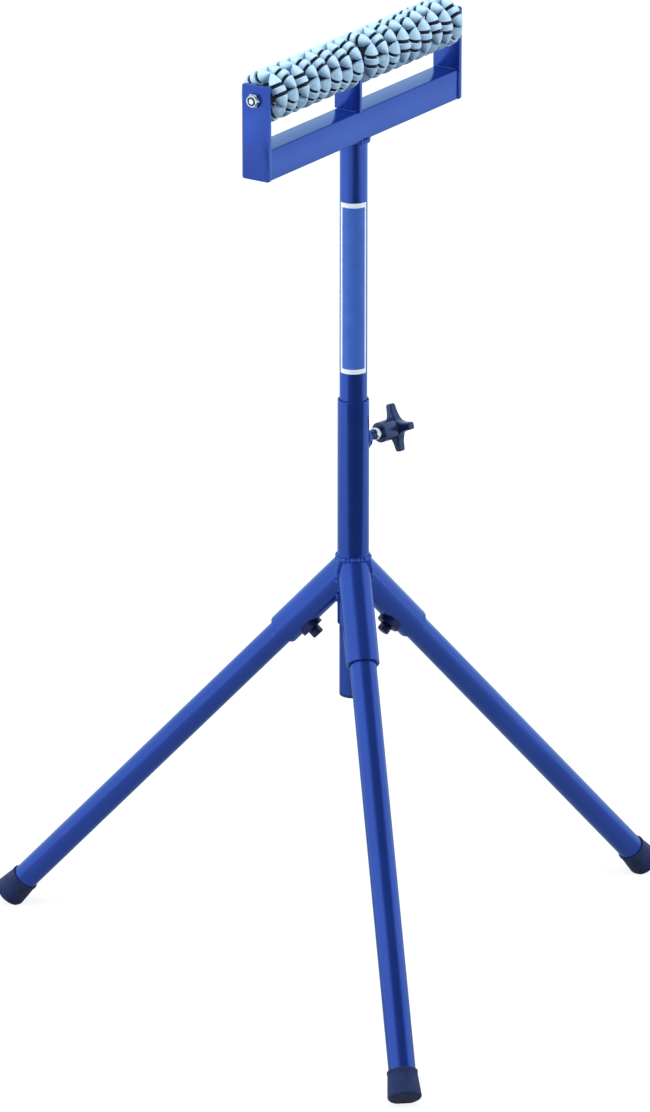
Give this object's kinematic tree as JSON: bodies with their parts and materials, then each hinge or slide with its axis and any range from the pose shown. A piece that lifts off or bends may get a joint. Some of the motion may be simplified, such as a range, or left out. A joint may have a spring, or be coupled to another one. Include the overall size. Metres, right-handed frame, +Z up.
{
  "type": "roller stand",
  "caption": "Height-adjustable tripod roller stand: a clamped telescopic mast carries a welded head with a row of omni wheels that lets stock roll and slide in any direction.",
  "frame": {"origin": "on the floor, under the mast's axis", "axes": "+Z up along the mast, +X along the axle, from the bay with fewer wheels to the other"},
  "size_m": [0.6847, 0.6604, 0.9831],
  "materials": {
    "blue_paint": "gloss powder coat",
    "foot_rubber": "matte",
    "dark_bolts": "painted over, satin",
    "black_plastic": "fine grain",
    "zinc_steel": "bright zinc plate",
    "label_film": "satin film with a white border",
    "wheel_plastic": "fine grain"
  },
  "bodies": {
    "base": {"leg_socket_1": "blue_paint", "leg_1": "blue_paint", "foot_1": "foot_rubber", "leg_pad_1": "dark_bolts", "leg_bolt_1": "dark_bolts", "leg_socket_2": "blue_paint", "leg_2": "blue_paint", "foot_2": "foot_rubber", "leg_pad_2": "dark_bolts", "leg_bolt_2": "dark_bolts", "leg_socket_3": "blue_paint", "leg_3": "blue_paint", "foot_3": "foot_rubber", "leg_pad_3": "dark_bolts", "leg_bolt_3": "dark_bolts", "sleeve": "blue_paint", "clamp_boss": "blue_paint"},
    "mast": {"mast": "blue_paint", "mast_plug": "black_plastic"},
    "head": {"mast_weld": "blue_paint", "mast_label": "label_film", "beam": "blue_paint", "left_plate": "blue_paint", "right_plate": "blue_paint", "centre_plate": "blue_paint", "axle": "zinc_steel", "left_axle_nut": "zinc_steel", "right_axle_nut": "zinc_steel"},
    "clamp_stud": {"clamp_stud": "zinc_steel"},
    "cross_knob": {"cross_knob": "black_plastic"},
    "wheel_01": {"wheel_01": "wheel_plastic"},
    "wheel_02": {"wheel_02": "wheel_plastic"},
    "wheel_03": {"wheel_03": "wheel_plastic"},
    "wheel_04": {"wheel_04": "wheel_plastic"},
    "wheel_05": {"wheel_05": "wheel_plastic"},
    "wheel_06": {"wheel_06": "wheel_plastic"},
    "wheel_07": {"wheel_07": "wheel_plastic"},
    "wheel_08": {"wheel_08": "wheel_plastic"},
    "wheel_09": {"wheel_09": "wheel_plastic"},
    "wheel_10": {"wheel_10": "wheel_plastic"},
    "wheel_11": {"wheel_11": "wheel_plastic"},
    "wheel_12": {"wheel_12": "wheel_plastic"},
    "wheel_13": {"wheel_13": "wheel_plastic"},
    "wheel_14": {"wheel_14": "wheel_plastic"},
    "wheel_15": {"wheel_15": "wheel_plastic"},
    "wheel_16": {"wheel_16": "wheel_plastic"},
    "wheel_17": {"wheel_17": "wheel_plastic"}
  },
  "joints": [
    {"name": "mast_slide", "type": "slide", "parent": "base", "child": "mast", "axis": [0, 0, 1], "range_m": [-0.26, 0.21]},
    {"name": "head_swivel", "type": "hinge", "parent": "mast", "child": "head", "pos_m": [0, 0, 0.875], "axis": [0, 0, 1], "continuous": true},
    {"name": "stud_feed", "type": "slide", "parent": "base", "child": "clamp_stud", "axis": [0.9799, -0.1994, 0], "range_m": [0, 0.003]},
    {"name": "knob_turn", "type": "hinge", "parent": "clamp_stud", "child": "cross_knob", "pos_m": [0, 0, 0.55806], "axis": [0.9799, -0.1994, 0], "range_deg": [0, 720]},
    {"name": "wheel_01_spin", "type": "hinge", "parent": "head", "child": "wheel_01", "pos_m": [-0.15735, 0, 0.95656], "axis": [1, 0, 0], "continuous": true},
    {"name": "wheel_02_spin", "type": "hinge", "parent": "head", "child": "wheel_02", "pos_m": [-0.13815, 0, 0.95656], "axis": [1, 0, 0], "continuous": true},
    {"name": "wheel_03_spin", "type": "hinge", "parent": "head", "child": "wheel_03", "pos_m": [-0.11895, 0, 0.95656], "axis": [1, 0, 0], "continuous": true},
    {"name": "wheel_04_spin", "type": "hinge", "parent": "head", "child": "wheel_04", "pos_m": [-0.09975, 0, 0.95656], "axis": [1, 0, 0], "continuous": true},
    {"name": "wheel_05_spin", "type": "hinge", "parent": "head", "child": "wheel_05", "pos_m": [-0.08055, 0, 0.95656], "axis": [1, 0, 0], "continuous": true},
    {"name": "wheel_06_spin", "type": "hinge", "parent": "head", "child": "wheel_06", "pos_m": [-0.06135, 0, 0.95656], "axis": [1, 0, 0], "continuous": true},
    {"name": "wheel_07_spin", "type": "hinge", "parent": "head", "child": "wheel_07", "pos_m": [-0.04215, 0, 0.95656], "axis": [1, 0, 0], "continuous": true},
    {"name": "wheel_08_spin", "type": "hinge", "parent": "head", "child": "wheel_08", "pos_m": [-0.02295, 0, 0.95656], "axis": [1, 0, 0], "continuous": true},
    {"name": "wheel_09_spin", "type": "hinge", "parent": "head", "child": "wheel_09", "pos_m": [0.00375, 0, 0.95656], "axis": [1, 0, 0], "continuous": true},
    {"name": "wheel_10_spin", "type": "hinge", "parent": "head", "child": "wheel_10", "pos_m": [0.02295, 0, 0.95656], "axis": [1, 0, 0], "continuous": true},
    {"name": "wheel_11_spin", "type": "hinge", "parent": "head", "child": "wheel_11", "pos_m": [0.04215, 0, 0.95656], "axis": [1, 0, 0], "continuous": true},
    {"name": "wheel_12_spin", "type": "hinge", "parent": "head", "child": "wheel_12", "pos_m": [0.06135, 0, 0.95656], "axis": [1, 0, 0], "continuous": true},
    {"name": "wheel_13_spin", "type": "hinge", "parent": "head", "child": "wheel_13", "pos_m": [0.08055, 0, 0.95656], "axis": [1, 0, 0], "continuous": true},
    {"name": "wheel_14_spin", "type": "hinge", "parent": "head", "child": "wheel_14", "pos_m": [0.09975, 0, 0.95656], "axis": [1, 0, 0], "continuous": true},
    {"name": "wheel_15_spin", "type": "hinge", "parent": "head", "child": "wheel_15", "pos_m": [0.11895, 0, 0.95656], "axis": [1, 0, 0], "continuous": true},
    {"name": "wheel_16_spin", "type": "hinge", "parent": "head", "child": "wheel_16", "pos_m": [0.13815, 0, 0.95656], "axis": [1, 0, 0], "continuous": true},
    {"name": "wheel_17_spin", "type": "hinge", "parent": "head", "child": "wheel_17", "pos_m": [0.15735, 0, 0.95656], "axis": [1, 0, 0], "continuous": true}
  ],
  "couplings": [
    {"joint": "stud_feed", "follows": "knob_turn", "m_per_rad": 0.00023873}
  ]
}
